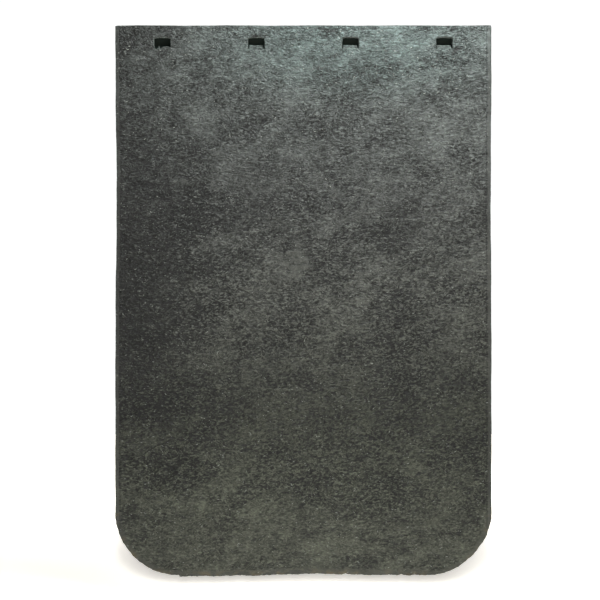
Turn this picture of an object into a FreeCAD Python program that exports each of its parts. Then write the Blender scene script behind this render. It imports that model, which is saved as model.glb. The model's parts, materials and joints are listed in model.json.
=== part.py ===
# Mud flap: a plain, heavy sheet of reinforced rubber that hangs behind a truck or trailer wheel.
#
# The sheet is a laminate, pressed and vulcanised as one: a rubber cover, a fabric ply, a thin rubber
# skim, a second ply and a second cover. A solid rubber strip closes each side beside the plies.
# Four punched slots take the bolts of the hanger. All sizes are millimetres and degrees.
#
# Frame: X across the flap, Y through its thickness with the road-facing front at -Y, Z up.
# The origin is on the line of the slots, at the middle of the width and of the thickness.
#
# The sheet bends below the clamped top band. Each layer is therefore made in two lengths, the band
# and the panel, that meet at the flex line in blunt wedges, so that the panel can swing both ways.
import FreeCAD, Part
import os
import Sketcher

SIZES = {
    "flap_width": 609.6,
    "flap_height": 893.0,
    "top_margin": 25.4,          # bolt line to top edge
    "corner_radius": 104.0,      # the two cut bottom corners
    "cover_thickness": 3.2,      # each rubber cover
    "ply_thickness": 0.9,        # each fabric ply
    "skim_thickness": 1.3,       # rubber between the plies
    "edge_strip_width": 7.0,     # solid rubber at each side
    "slot_count": 4,
    "slot_pitch": 152.4,
    "slot_width": 26.0,
    "slot_opening": 10.5,        # height of the clear way through
    "slot_ramp": 8.1,            # how far the lower wall slopes down to the front face
    "slot_corner_radius": 1.5,
    "flex_drop": 80.0,           # bolt line to flex line
    "swing_limit": 45.0,         # each way
    "flex_clearance": 0.4,       # between band and panel on the middle plane
    "cut_margin": 2.0,           # how far a cut runs past the rubber
}

THICKNESS = "(2 * sizes.cover_thickness + 2 * sizes.ply_thickness + sizes.skim_thickness)"
HALF_WIDTH = "(sizes.flap_width / 2)"
HALF_GAP = "(sizes.flex_clearance / 2)"
BOTTOM = "(sizes.top_margin - sizes.flap_height)"
CORE = "(2 * sizes.ply_thickness + sizes.skim_thickness)"

# Each layer: its name, its thickness, and what lies behind it, as far as the rear face.
LAYERS = [
    ("front_cover", "sizes.cover_thickness", f"({CORE} + sizes.cover_thickness)"),
    ("front_ply", "sizes.ply_thickness", "(sizes.ply_thickness + sizes.skim_thickness + sizes.cover_thickness)"),
    ("core_skim", "sizes.skim_thickness", "(sizes.ply_thickness + sizes.cover_thickness)"),
    ("rear_ply", "sizes.ply_thickness", "sizes.cover_thickness"),
    ("rear_cover", "sizes.cover_thickness", "0"),
]
INNER_LAYERS = ("front_ply", "core_skim", "rear_ply")
TOLERANCE = 1e-4

doc = FreeCAD.newDocument("mud_flap")
sheet = doc.addObject("Spreadsheet::Sheet", "sizes")
for row, (alias, value) in enumerate(SIZES.items(), start=1):
    sheet.set(f"A{row}", alias)
    sheet.set(f"B{row}", str(value))
    sheet.setAlias(f"B{row}", alias)
doc.recompute()


def value_of(expression):
    """The number that an expression on the sheet gives now."""
    found = sheet.evalExpression(expression)
    return float(getattr(found, "Value", found))


def origin_plane(body, role):
    return next(plane for plane in body.Origin.OriginFeatures if plane.Role == role)


def polygon_sketch(body, name, role, corners, offset="0"):
    """A closed straight-sided sketch whose corners are pairs of expressions, on a plane of the body's
    origin moved along its normal by offset."""
    sketch = body.newObject("Sketcher::SketchObject", name)
    sketch.AttachmentSupport = (origin_plane(body, role), [""])
    sketch.MapMode = "FlatFace"
    sketch.setExpression(".AttachmentOffset.Base.z", offset)
    points = [FreeCAD.Vector(value_of(across), value_of(up), 0) for across, up in corners]
    for index, point in enumerate(points):
        sketch.addGeometry(Part.LineSegment(point, points[(index + 1) % len(points)]), False)
    for index in range(len(points)):
        following = (index + 1) % len(points)
        sketch.addConstraint(Sketcher.Constraint("Coincident", index, 2, following, 1))
    for index, (across, up) in enumerate(corners):
        bind_distance(sketch, "DistanceX", index, across)
        bind_distance(sketch, "DistanceY", index, up)
    return sketch


def bind_distance(sketch, kind, index, expression):
    """Ties the start of line number index to the sketch's origin by an expression of either sign."""
    distance = value_of(expression)
    if distance < 0:
        constraint = Sketcher.Constraint(kind, index, 1, -1, 1, -distance)
        expression = f"-({expression})"
    else:
        constraint = Sketcher.Constraint(kind, -1, 1, index, 1, distance)
    number = sketch.addConstraint(constraint)
    label = f"{kind}_{index}"
    sketch.renameConstraint(number, label)
    sketch.setExpression(f"Constraints.{label}", expression)


def pad(body, sketch, length):
    feature = body.newObject("PartDesign::Pad", "Pad")
    feature.Profile = sketch
    feature.setExpression("Length", length)
    doc.recompute()
    return feature


def pocket_through(body, sketch, name, width=None):
    """A cut both ways from the sketch, right through or as wide as stated. Stops if it removes nothing."""
    before = body.Shape.Volume
    feature = body.newObject("PartDesign::Pocket", name)
    feature.Profile = sketch
    feature.Midplane = True
    if width:
        feature.Type = "Length"
        feature.setExpression("Length", width)
    else:
        feature.Type = "ThroughAll"
    doc.recompute()
    if body.Shape.Volume > before - TOLERANCE:
        raise RuntimeError(f"{body.Label}: {name} removes nothing")
    return feature


def edges_through_thickness(shape, wanted):
    """Names of the edges that run along Y and whose place (x, z) is wanted."""
    names = []
    for number, edge in enumerate(shape.Edges, start=1):
        if len(edge.Vertexes) != 2:
            continue
        start, end = (vertex.Point for vertex in edge.Vertexes)
        along = abs(start.y - end.y)
        if along > TOLERANCE and abs(edge.Length - along) < TOLERANCE and wanted(start.x, start.z):
            names.append(f"Edge{number}")
    return names


def fillet(body, name, radius, wanted, expected):
    base = body.Tip
    names = edges_through_thickness(base.Shape, wanted)
    if len(names) != expected:
        raise RuntimeError(f"{body.Label}: {name} finds {len(names)} edges, not {expected}")
    feature = body.newObject("PartDesign::Fillet", name)
    feature.Base = (base, names)
    feature.setExpression("Radius", radius)
    doc.recompute()


def blank(name, rear, thickness, top, bottom):
    """A rectangle of one layer between two heights. rear is how far the layer's back is from the rear face."""
    body = doc.addObject("PartDesign::Body", name)
    body.Label = name
    corners = [
        (f"-{HALF_WIDTH}", bottom),
        (HALF_WIDTH, bottom),
        (HALF_WIDTH, top),
        (f"-{HALF_WIDTH}", top),
    ]
    sketch = polygon_sketch(body, "Outline", "XZ_Plane", corners, f"{rear} - {THICKNESS} / 2")
    pad(body, sketch, thickness)
    return body


def trim_sides(body, bottom, side):
    """Cuts an inner layer back to the plies' width, or, for a side strip, away from that strip."""
    inner = f"({HALF_WIDTH} - sizes.edge_strip_width)"
    outer = f"({HALF_WIDTH} + sizes.cut_margin)"
    spans = {
        None: [(inner, outer), (f"-{outer}", f"-{inner}")],
        "left": [(f"-{inner}", outer)],
        "right": [(f"-{outer}", inner)],
    }[side]
    top = "(sizes.top_margin + sizes.cut_margin)"
    low = f"({bottom} - sizes.cut_margin)"
    for number, (start, end) in enumerate(spans):
        corners = [(start, low), (end, low), (end, top), (start, top)]
        sketch = polygon_sketch(body, f"Side{number}", "XZ_Plane", corners)
        pocket_through(body, sketch, f"SideTrim{number}")


def cut_slots(body):
    """The row of slots. The lower wall slopes from the rear face down and out to the front face."""
    half_opening = "(sizes.slot_opening / 2)"
    front = f"(-{THICKNESS} / 2 - sizes.cut_margin)"
    rear = f"({THICKNESS} / 2)"
    past_rear = f"({rear} + sizes.cut_margin)"
    slope_past = f"(sizes.slot_ramp * (1 + sizes.cut_margin / {THICKNESS}))"
    corners = [
        (front, f"-{half_opening} - {slope_past}"),
        (rear, f"-{half_opening}"),
        (past_rear, f"-{half_opening}"),
        (past_rear, half_opening),
        (front, half_opening),
    ]
    row_half = "(sizes.slot_pitch * (sizes.slot_count - 1) / 2)"
    sketch = polygon_sketch(body, "SlotSection", "YZ_Plane", corners, f"-{row_half}")
    first = pocket_through(body, sketch, "Slot", "sizes.slot_width")
    one_slot = body.Shape.Volume
    pattern = body.newObject("PartDesign::LinearPattern", "SlotRow")
    pattern.Originals = [first]
    pattern.Direction = (origin_axis(body, "X_Axis"), [""])
    pattern.setExpression("Length", "sizes.slot_pitch * (sizes.slot_count - 1)")
    pattern.setExpression("Occurrences", "sizes.slot_count")
    body.Tip = pattern
    doc.recompute()
    if body.Shape.Volume > one_slot - TOLERANCE:
        raise RuntimeError(f"{body.Label}: the row of slots isn't repeated")
    top_wall = value_of(half_opening)
    count = int(value_of("sizes.slot_count"))
    fillet(
        body,
        "SlotCorners",
        "sizes.slot_corner_radius",
        lambda x, z: abs(z - top_wall) < TOLERANCE and abs(x) < value_of(HALF_WIDTH) - 1,
        2 * count,
    )


def origin_axis(body, role):
    return next(axis for axis in body.Origin.OriginFeatures if axis.Role == role)


def cut_wedge(body, direction):
    """Bevels the end at the flex line from both faces, by half the swing. direction is 1 on the band."""
    reach = f"({THICKNESS} / 2 + sizes.cut_margin)"
    rise = f"({reach} * tan(sizes.swing_limit / 2 * 1 deg))"
    sign = "" if direction > 0 else "-"
    tip = f"-sizes.flex_drop + {direction} * {HALF_GAP}"
    flank = f"{tip} + {direction} * {rise}"
    past = f"-sizes.flex_drop - {direction} * ({HALF_GAP} + sizes.cut_margin)"
    corners = [(f"-{reach}", past), (reach, past), (reach, flank), ("0", tip), (f"-{reach}", flank)]
    sketch = polygon_sketch(body, "FlexSection", "YZ_Plane", corners)
    pocket_through(body, sketch, "FlexBevel")


def round_bottom(body):
    """The two corners cut off round at the bottom of the sheet."""
    bottom = value_of(BOTTOM)
    fillet(body, "CornerCut", "sizes.corner_radius", lambda x, z: abs(z - bottom) < TOLERANCE, 2)


def band(name, rear, thickness, trimmed, side=None):
    """The clamped length of one layer, from the top edge to the flex line."""
    flex_line = "-sizes.flex_drop"
    body = blank(f"{name}_band", rear, thickness, "sizes.top_margin", flex_line)
    if trimmed:
        trim_sides(body, flex_line, side)
    if side is None:
        cut_slots(body)
    cut_wedge(body, 1)
    return body


def panel(name, rear, thickness, trimmed, side=None):
    """The hanging length of one layer, from the flex line to the bottom edge."""
    body = blank(f"{name}_panel", rear, thickness, "-sizes.flex_drop", BOTTOM)
    round_bottom(body)
    if trimmed:
        trim_sides(body, BOTTOM, side)
    cut_wedge(body, -1)
    return body


def check(pieces):
    """Stops on any failed object, or on a piece that isn't one sound solid."""
    for item in doc.Objects:
        if "Invalid" in item.State or "Error" in item.State:
            raise RuntimeError(f"{item.Label}: {item.State}")
    for piece in pieces:
        shape = piece.Shape
        if shape.isNull() or not shape.isValid() or len(shape.Solids) != 1:
            raise RuntimeError(f"{piece.Label} isn't one sound solid")


pieces = []
for name, thickness, rear in LAYERS:
    inner = name in INNER_LAYERS
    pieces.append(band(name, rear, thickness, inner))
    pieces.append(panel(name, rear, thickness, inner))
for side in ("left", "right"):
    pieces.append(band(f"{side}_edge_strip", "sizes.cover_thickness", CORE, True, side))
    pieces.append(panel(f"{side}_edge_strip", "sizes.cover_thickness", CORE, True, side))
doc.recompute()
check(pieces)

os.makedirs("parts", exist_ok=True)
for piece in pieces:
    piece.Shape.exportStep(f"parts/{piece.Label}.step")
    box = piece.Shape.BoundBox
    print(f"{piece.Label}: {box.XLength:.1f} x {box.YLength:.2f} x {box.ZLength:.1f} mm, "
          f"{piece.Shape.Volume / 1000:.1f} cm3")
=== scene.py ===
import json
import math
import bmesh
import bpy
import numpy as np
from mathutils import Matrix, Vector
from mathutils.geometry import delaunay_2d_cdt
from mathutils.kdtree import KDTree


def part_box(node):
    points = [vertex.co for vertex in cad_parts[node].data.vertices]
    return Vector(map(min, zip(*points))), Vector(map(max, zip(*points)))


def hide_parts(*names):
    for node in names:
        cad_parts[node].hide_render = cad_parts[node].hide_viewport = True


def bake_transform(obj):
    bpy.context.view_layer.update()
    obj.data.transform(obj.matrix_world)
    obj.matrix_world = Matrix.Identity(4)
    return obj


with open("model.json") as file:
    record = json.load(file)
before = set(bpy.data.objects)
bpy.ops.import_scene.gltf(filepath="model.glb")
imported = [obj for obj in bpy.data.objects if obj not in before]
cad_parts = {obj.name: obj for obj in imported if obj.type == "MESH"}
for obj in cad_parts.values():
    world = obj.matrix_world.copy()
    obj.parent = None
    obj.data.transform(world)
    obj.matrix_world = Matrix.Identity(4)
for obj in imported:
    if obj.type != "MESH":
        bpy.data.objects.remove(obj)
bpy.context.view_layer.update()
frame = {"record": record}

print("frame loaded")

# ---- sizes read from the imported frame, in metres ----

mm = 0.001
coverLow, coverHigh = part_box("front_cover_band")
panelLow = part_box("front_cover_panel")[0]
stripLow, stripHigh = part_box("left_edge_strip_panel")
halfWidth = coverHigh[0]
topEdge = coverHigh[2]
bottomEdge = panelLow[2]
frontFace = coverLow[1]
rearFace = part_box("rear_cover_band")[1][1]
thickness = rearFace - frontFace
stripWidth = stripHigh[0] - stripLow[0]
stripFoot = stripLow[2] - bottomEdge
# the side strips end on the corner arc, which gives the arc's radius
cornerRadius = stripWidth + stripFoot + math.sqrt(2 * stripWidth * stripFoot)
slotMount = next(m for m in frame["record"]["mounts"] if m["name"] == "slot_row")["dims"]

slots = {
    "count": slotMount["count"],
    "pitch": slotMount["spacing_x_mm"] * mm,
    "width": slotMount["slot_length_mm"] * mm,
    "opening": 10.5 * mm,
    "ramp": 8.1 * mm,          # the lower wall's slope, down and out to the front
    "cornerRadius": 1.5 * mm,
    "step": 0.8 * mm,
    "flare": 0.6 * mm,         # how much wider each side is at the front
    "slit": (1.1 * mm, 1.9 * mm),    # the punch cut straight down beside the ramp, more on the right
    "slitDepth": [0.3, 0.85, 0.7, 0.8],
    "arch": 0.7 * mm,          # the punch left the top edge bowed up
    "wallWaves": [(14 * mm, 0.22 * mm), (5 * mm, 0.12 * mm)],
    "lipReach": 3.2 * mm,      # rubber pushed up round each slot
}


# ---- small helpers ----

def hexColour(text):
    # sRGB hex to linear RGBA
    parts = [int(text[i:i + 2], 16) / 255 for i in (1, 3, 5)]
    return [c / 12.92 if c <= 0.04045 else ((c + 0.055) / 1.055) ** 2.4 for c in parts] + [1.0]


def addNode(tree, kind, settings=None, inputs=None):
    node = tree.nodes.new(kind)
    for key, value in (settings or {}).items():
        setattr(node, key, value)
    for key, value in (inputs or {}).items():
        if isinstance(value, bpy.types.NodeSocket):
            tree.links.new(value, node.inputs[key])
        else:
            node.inputs[key].default_value = value
    return node


def smooth(value, low, high):
    part = np.clip((value - low) / (high - low), 0, 1)
    return part * part * (3 - 2 * part)


def wobble(along, waves, seed):
    # a fixed, uneven line: sines of the given (wavelength, height) with random phases
    phases = np.random.default_rng(seed).uniform(0, 2 * math.pi, len(waves))
    along = np.asarray(along, float)
    return sum(height * np.sin(2 * math.pi * along / length + phase)
               for (length, height), phase in zip(waves, phases))


# ---- the cut outline ----

outline = {
    "step": 2.4 * mm,                # spacing of points along an edge
    "topCorner": 1.6 * mm,
    "waist": (2.1 * mm, 1.1 * mm),   # how far the left and the right side bow in
    "waistHeight": -0.255,
    "waistReach": 0.13,
    "bottomRise": 4.0 * mm,          # the cut line climbs towards the middle
    "riseMiddle": 0.02,
    "riseReach": 0.085,
    "rightRise": 1.6 * mm,
    "diagonalCut": (1.0 * mm, 3.2 * mm),   # knife taken flatter across the left and right corner
    "cutWaves": [(61 * mm, 0.35 * mm), (23 * mm, 0.28 * mm), (9 * mm, 0.22 * mm), (5.3 * mm, 0.16 * mm)],
    "sideWaves": [(140 * mm, 0.25 * mm), (47 * mm, 0.12 * mm), (12 * mm, 0.05 * mm)],
    "nicks": 9,
    "nickDepth": 1.5 * mm,
    "nickWidth": 3.2 * mm,
    "seed": 7,
}


def sideInset(z, right):
    bow = outline["waist"][1 if right else 0]
    waist = bow * np.exp(-((z - outline["waistHeight"]) / outline["waistReach"]) ** 2)
    return waist + 0.3 * mm + wobble(z, outline["sideWaves"], outline["seed"] + right)


def bottomInset(x):
    rise = outline["bottomRise"] * np.exp(-((x - outline["riseMiddle"]) / outline["riseReach"]) ** 2)
    rise = rise + outline["rightRise"] * smooth(x, 0.05, 0.16)
    places = np.random.default_rng(outline["seed"] + 5).uniform(-0.2, 0.2, outline["nicks"])
    depths = np.random.default_rng(outline["seed"] + 6).uniform(0.3, 1, outline["nicks"])
    nicks = sum(outline["nickDepth"] * depth * np.exp(-((x - place) / outline["nickWidth"]) ** 2)
                for place, depth in zip(places, depths))
    return rise + nicks + 0.9 * mm + wobble(x, outline["cutWaves"], outline["seed"] + 3)


def edgePoints(start, end, step):
    count = max(2, int(round(abs(end - start) / step)))
    return np.linspace(start, end, count, endpoint=False)


def cornerPoints(right, stripStart):
    # from the bottom edge up to where the side, or the plies' side, begins
    last = math.acos((cornerRadius - stripStart) / cornerRadius)
    count = int((math.pi / 2 - last) * cornerRadius / outline["step"])
    angles = np.linspace(-math.pi / 2, -last, count, endpoint=False)
    share = (angles + math.pi / 2) / (math.pi / 2)
    facets = 0.5 * mm * np.abs(np.sin(share * math.pi * (5.5 if right else 4.5)))
    cut = outline["diagonalCut"][1 if right else 0] * np.sin(share * math.pi) ** 2 + facets
    ragged = wobble(share * cornerRadius, outline["cutWaves"][1:], outline["seed"] + 11 + right)
    fade = smooth(share, 0, 0.08)
    inset = (cut + ragged) * fade * (1 - smooth(share, 0.93, 1)) + sideInset(-0.8, right) * share ** 4
    inset = inset + bottomInset(np.array(halfWidth - cornerRadius)) * (1 - share) ** 3
    radius = cornerRadius - inset
    x = halfWidth - cornerRadius + radius * np.cos(angles)
    z = bottomEdge + cornerRadius + radius * np.sin(angles)
    normals = np.stack([np.cos(angles), np.sin(angles)], 1)
    if not right:
        x, normals = -x, normals * [-1, 1]
    return np.stack([x, z], 1), normals


def outerLoop(strip):
    # anticlockwise seen from the front; strip is how far the sides stand in for the plies
    points, normals, cut = [], [], []

    def add(where, normal, isCut):
        points.append(where)
        normals.append(normal)
        cut.append(np.full(len(where), float(isCut)))

    step = outline["step"]
    side = halfWidth - strip
    flat = halfWidth - cornerRadius
    x = edgePoints(-flat, flat, step)
    add(np.stack([x, bottomEdge + bottomInset(x)], 1), np.tile([0.0, -1.0], (len(x), 1)), 1)
    where, normal = cornerPoints(True, strip)
    add(where, normal, 1)
    foot = where[-1][1] + step
    z = edgePoints(foot, topEdge - outline["topCorner"], step)
    add(np.stack([side - sideInset(z, True), z], 1), np.tile([1.0, 0.0], (len(z), 1)), 0)
    x = edgePoints(side - outline["topCorner"], -side + outline["topCorner"], step)
    top = topEdge - 0.4 * mm - wobble(x, outline["sideWaves"], outline["seed"] + 9)
    add(np.stack([x, top], 1), np.tile([0.0, 1.0], (len(x), 1)), 0.5)
    z = edgePoints(topEdge - outline["topCorner"], foot, step)
    add(np.stack([-side + sideInset(z, False), z], 1), np.tile([-1.0, 0.0], (len(z), 1)), 0)
    where, normal = cornerPoints(False, strip)
    add(where[::-1], normal[::-1], 1)
    return {"points": np.concatenate(points), "normals": np.concatenate(normals), "cut": np.concatenate(cut)}


def stripLoop(right):
    # the solid rubber strip between the plies' side and the flap's side
    step = outline["step"]
    whole, normal = cornerPoints(right, 0)
    keep = np.abs(whole[:, 0]) > halfWidth - stripWidth
    arc, arcNormal = whole[keep], normal[keep]
    z = edgePoints(arc[-1][1] + step, topEdge - outline["topCorner"], step)
    sign = 1 if right else -1
    outer = np.stack([sign * (halfWidth - sideInset(z, right)), z], 1)
    back = edgePoints(topEdge - outline["topCorner"], arc[0][1] + step, step)
    inner = np.stack([sign * (halfWidth - stripWidth - sideInset(back, right)), back], 1)
    outward = np.array([float(sign), 0.0])
    points = np.concatenate([arc, outer, inner])
    normals = np.concatenate([arcNormal, np.tile(outward, (len(z), 1)), np.tile(-outward, (len(back), 1))])
    if not right:
        points, normals = points[::-1], normals[::-1]
    return {"points": points, "normals": normals, "cut": np.zeros(len(points))}


def slotFloor(x, number, depth):
    # height of the slot's lower wall: level at the rear, sloping down to the front
    x = np.asarray(x, float)
    half, share = slots["width"] / 2, (rearFace - depth) / thickness
    rear = np.full(x.shape, -slots["opening"] / 2)
    front = rear - slots["ramp"]
    if number == 0:
        # the first slot was torn: straight through on the left, with a stub left, and shallow on the right
        torn = 1 - smooth(x, -0.35 * half, 0.1 * half)
        stub = np.exp(-((x + 0.45 * half) / (0.15 * half)) ** 2)
        rear = rear - slots["ramp"] * (0.93 * torn + 0.38 * (1 - torn) - 0.8 * stub)
        front = front + slots["ramp"] * 0.45 * (1 - torn)
    left, right = slots["slit"]
    slit = smooth(-x, half - left * 1.5, half - left * 0.7)
    slit = slit + smooth(x, half - right * 1.4, half - right * 0.7)
    rear = rear + (front - rear) * slit * slots["slitDepth"][number]
    sag = wobble(x + 3 * number, [(19 * mm, 0.5 * mm), (7 * mm, 0.25 * mm)], 31 + number)
    return rear + (front - rear) * share + sag * (0.4 + 0.6 * share)


def slotLoop(number, depth):
    # clockwise round the hole as seen from the front; depth is the y at which it is cut
    middle = (number - (slots["count"] - 1) / 2) * slots["pitch"]
    radius, step = slots["cornerRadius"], slots["step"]
    high, half = slots["opening"] / 2, slots["width"] / 2
    share = (rearFace - depth) / thickness
    half = half + slots["flare"] * share ** 2
    across = int(slots["width"] / step)
    up = int((slots["opening"] + slots["ramp"]) / 2 / step)
    quarter = np.linspace(0, math.pi / 2, 4)
    points, normals = [], []

    def add(x, z, normalX, normalZ):
        x, z = np.broadcast_arrays(np.atleast_1d(np.asarray(x, float)), z)
        points.append(np.stack([x, z], 1))
        normals.append(np.stack([np.broadcast_to(normalX, x.shape), np.broadcast_to(normalZ, x.shape)], 1))

    run = np.linspace(-half, half, across, endpoint=False)
    add(run, slotFloor(run, number, depth), 0.0, 1.0)
    rise = np.linspace(slotFloor(half, number, depth), high - radius, up, endpoint=False)
    add(half, rise, -1.0, 0.0)
    add(half - radius + radius * np.cos(quarter), high - radius + radius * np.sin(quarter),
        -np.cos(quarter), -np.sin(quarter))
    run = np.linspace(half - radius, -half + radius, across, endpoint=False)[1:]
    add(run, high + slots["arch"] * (1 - (run / (half - radius)) ** 2), 0.0, -1.0)
    turned = quarter + math.pi / 2
    add(-half + radius + radius * np.cos(turned), high - radius + radius * np.sin(turned),
        -np.cos(turned), -np.sin(turned))
    fall = np.linspace(high - radius, slotFloor(-half, number, depth), up, endpoint=False)[1:]
    add(-half, fall, 1.0, 0.0)
    points, normals = np.concatenate(points), np.concatenate(normals)
    rough = wobble(np.arange(len(points)) * step, slots["wallWaves"], 41 + number)
    points = points + normals * rough[:, None] + [middle, 0]
    return {"points": points[::-1], "normals": normals[::-1], "cut": np.ones(len(points))}


# ---- one layer of the sheet as a closed mesh ----

def triangulate(loops, gridX, gridZ):
    # the loops' points first, then a staggered grid inside them; also how far each grid point is from a loop
    points = np.concatenate(loops)
    edges, start = [], 0
    for loop in loops:
        edges += [(start + i, start + (i + 1) % len(loop)) for i in range(len(loop))]
        start += len(loop)
    low, high = loops[0].min(0), loops[0].max(0)
    gx, gz = np.meshgrid(np.arange(low[0], high[0] + gridX, gridX), np.arange(low[1], high[1], gridZ))
    gx[1::2] += gridX / 2
    grid = np.stack([gx.ravel(), gz.ravel()], 1)
    keep = crossings(grid, loops[0])
    for hole in loops[1:]:
        keep &= ~crossings(grid, hole)
    grid = grid[keep]
    tree = KDTree(len(points))
    for i, (x, z) in enumerate(points):
        tree.insert((x, z, 0), i)
    tree.balance()
    gaps = np.array([tree.find((x, z, 0))[2] for x, z in grid])
    clear = gaps > 0.55 * min(gridX, gridZ)
    grid, gaps = grid[clear], gaps[clear]
    every = [Vector(p) for p in np.concatenate([points, grid])]
    made = delaunay_2d_cdt(every, edges, [], 0, 1e-7, True)
    flat, triangles = np.array([v[:] for v in made[0]]), np.array(made[2])
    middles = flat[triangles].mean(1)
    keep = crossings(middles, loops[0])
    for hole in loops[1:]:
        keep &= ~crossings(middles, hole)
    return flat, triangles[keep], made[3], start, gaps


def crossings(points, loop):
    # even-odd test of many points against one closed loop
    inside = np.zeros(len(points), bool)
    a, b = loop, np.roll(loop, -1, 0)
    for (ax, az), (bx, bz) in zip(a, b):
        if az == bz:
            continue
        spans = (points[:, 1] < az) != (points[:, 1] < bz)
        at = ax + (points[:, 1] - az) * (bx - ax) / (bz - az)
        inside ^= spans & (points[:, 0] < at)
    return inside


def closedSheet(name, loopsAt, rings, faceGrid, backGrid):
    # rings run from the shown face to the hidden one: for each loop, a depth and how far it stands in
    verts, faces, onFace, ringStart = [], [], [], []
    for ring in rings:
        starts = []
        for number, (depth, inset) in enumerate(ring):
            loop = loopsAt(float(np.mean(depth)))[number]
            starts.append(len(verts))
            count = len(loop["points"])
            flat = loop["points"] - loop["normals"] * np.broadcast_to(inset, count)[:, None]
            verts += [(p[0], y, p[1]) for p, y in zip(flat, np.broadcast_to(depth, count))]
        ringStart.append(starts)
    sizes = [len(loop["points"]) for loop in loopsAt(0.0)]
    faceDepth, backDepth = (float(np.mean(ring[0][0])) for ring in (rings[0], rings[-1]))
    forward = faceDepth < backDepth
    for near, far in zip(ringStart, ringStart[1:]):
        for a, b, count in zip(near, far, sizes):
            for i in range(count):
                j = (i + 1) % count
                quad = (a + i, b + i, b + j, a + j)
                faces.append(quad if forward else quad[::-1])
                onFace.append(0)
    share = {}
    for which, grid in ((0, faceGrid), (-1, backGrid)):
        starts, depth = ringStart[which], (faceDepth, backDepth)[which]
        loops = [np.array([(x, z) for x, y, z in verts[s:s + n]]) for s, n in zip(starts, sizes)]
        order = np.concatenate([s + np.arange(n) for s, n in zip(starts, sizes)])
        points, triangles, origin, fixed, gaps = triangulate(loops, *grid)
        place = np.empty(len(points), int)
        for i, sources in enumerate(origin):
            known = [s for s in sources if s < fixed]
            if known:
                place[i] = order[known[0]]
            else:
                place[i] = len(verts)
                if which == 0:
                    share[len(verts)] = gaps[sources[0] - fixed]
                verts.append((points[i][0], depth, points[i][1]))
        flip = (which == 0) != forward
        for triangle in place[triangles]:
            faces.append(tuple(int(v) for v in (triangle[::-1] if flip else triangle)))
            onFace.append(int(which == 0))
    mesh = bpy.data.meshes.new(name)
    mesh.from_pydata(verts, [], faces)
    mesh.polygons.foreach_set("use_smooth", np.ones(len(mesh.polygons), bool))
    mesh.attributes.new("onFace", "FLOAT", "FACE").data.foreach_set("value", np.array(onFace, np.float32))
    inner = np.zeros(len(verts))
    inner[list(share)] = smooth(np.array(list(share.values())), 0, rims["grainFade"]) if share else []
    mesh.attributes.new("grainShare", "FLOAT", "POINT").data.foreach_set("value", inner.astype(np.float32))
    noteRestPlace(mesh)
    piece = bpy.data.objects.new(name, mesh)
    bpy.context.scene.collection.objects.link(piece)
    return piece


def noteRestPlace(mesh):
    # the resting place and the distances from the sides and the cut edge, for patterns that follow the rubber
    count = len(mesh.vertices)
    place = np.empty(count * 3)
    mesh.vertices.foreach_get("co", place)
    mesh.attributes.new("restPlace", "FLOAT_VECTOR", "POINT").data.foreach_set("vector", place)
    x, z = place[0::3], place[2::3]
    side = halfWidth - np.where(x > 0, sideInset(z, True), sideInset(z, False)) - np.abs(x)
    past = np.maximum(np.abs(x) - halfWidth + cornerRadius, 0)
    fromArc = np.hypot(past, np.maximum(bottomEdge + cornerRadius - z, 0))
    cut = np.where(z < bottomEdge + cornerRadius, cornerRadius - fromArc, 1.0)
    flatPart = np.abs(x) < halfWidth - cornerRadius
    cut = np.where(flatPart, z - bottomEdge - bottomInset(x), cut)
    lip = np.zeros(count)
    for number in range(slots["count"]):
        middle = (number - (slots["count"] - 1) / 2) * slots["pitch"]
        beside = np.maximum(np.abs(x - middle) - slots["width"] / 2, 0)
        above = np.maximum(z - slots["opening"] / 2, 0)
        below = np.maximum(-z - slots["opening"] / 2 - slots["ramp"], 0) * 2
        lip = np.maximum(lip, np.exp(-((beside ** 2 + (above + below) ** 2) / slots["lipReach"] ** 2)))
    mesh.attributes.new("slotLip", "FLOAT", "POINT").data.foreach_set("value", lip.astype(np.float32))
    mesh.attributes.new("fromSide", "FLOAT", "POINT").data.foreach_set("value", side.astype(np.float32))
    mesh.attributes.new("fromCut", "FLOAT", "POINT").data.foreach_set("value", cut.astype(np.float32))


def layerLoops(strip):
    outer = outerLoop(strip)
    return lambda depth: [outer] + [slotLoop(number, depth) for number in range(slots["count"])]


rims = {
    "sideRound": 1.7 * mm,
    "topRound": 0.8 * mm,
    "cutRound": 0.45 * mm,
    "slotRound": 0.5 * mm,
    "steps": 4,
    "grainFade": 3.5 * mm,     # over which the grain dies out at an edge
}


def coverRings(loopsAt, face, back):
    # a quarter round from the face on to the wall, then straight to the back
    cut = loopsAt(face)[0]["cut"]
    radius = np.where(cut == 0, rims["sideRound"], np.where(cut == 1, rims["cutRound"], rims["topRound"]))
    spread = 9
    padded = np.concatenate([radius[-spread:], radius, radius[:spread]])
    radius = np.convolve(padded, np.ones(spread) / spread, "same")[spread:-spread]
    sign = 1 if back > face else -1
    rings = []
    for k in range(rims["steps"] + 1):
        turn = k / rims["steps"] * math.pi / 2
        away, down = 1 - math.sin(turn), 1 - math.cos(turn)
        outer = (face + sign * radius * down, radius * away)
        hole = (face + sign * rims["slotRound"] * down, rims["slotRound"] * away)
        rings.append([outer] + [hole] * slots["count"])
    for share in (0.72, 1):
        rings.append([(face + (back - face) * share, 0)] * (1 + slots["count"]))
    return rings


def wallRings(front, back, bead, holes):
    # a thin layer whose cut edge is a soft bead
    shares = ((0, 1), (0.25, 0.25), (0.5, 0), (0.75, 0.25), (1, 1))
    return [[(front + (back - front) * depth, bead * inset)] * (1 + holes) for depth, inset in shares]


# ---- materials ----

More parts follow.
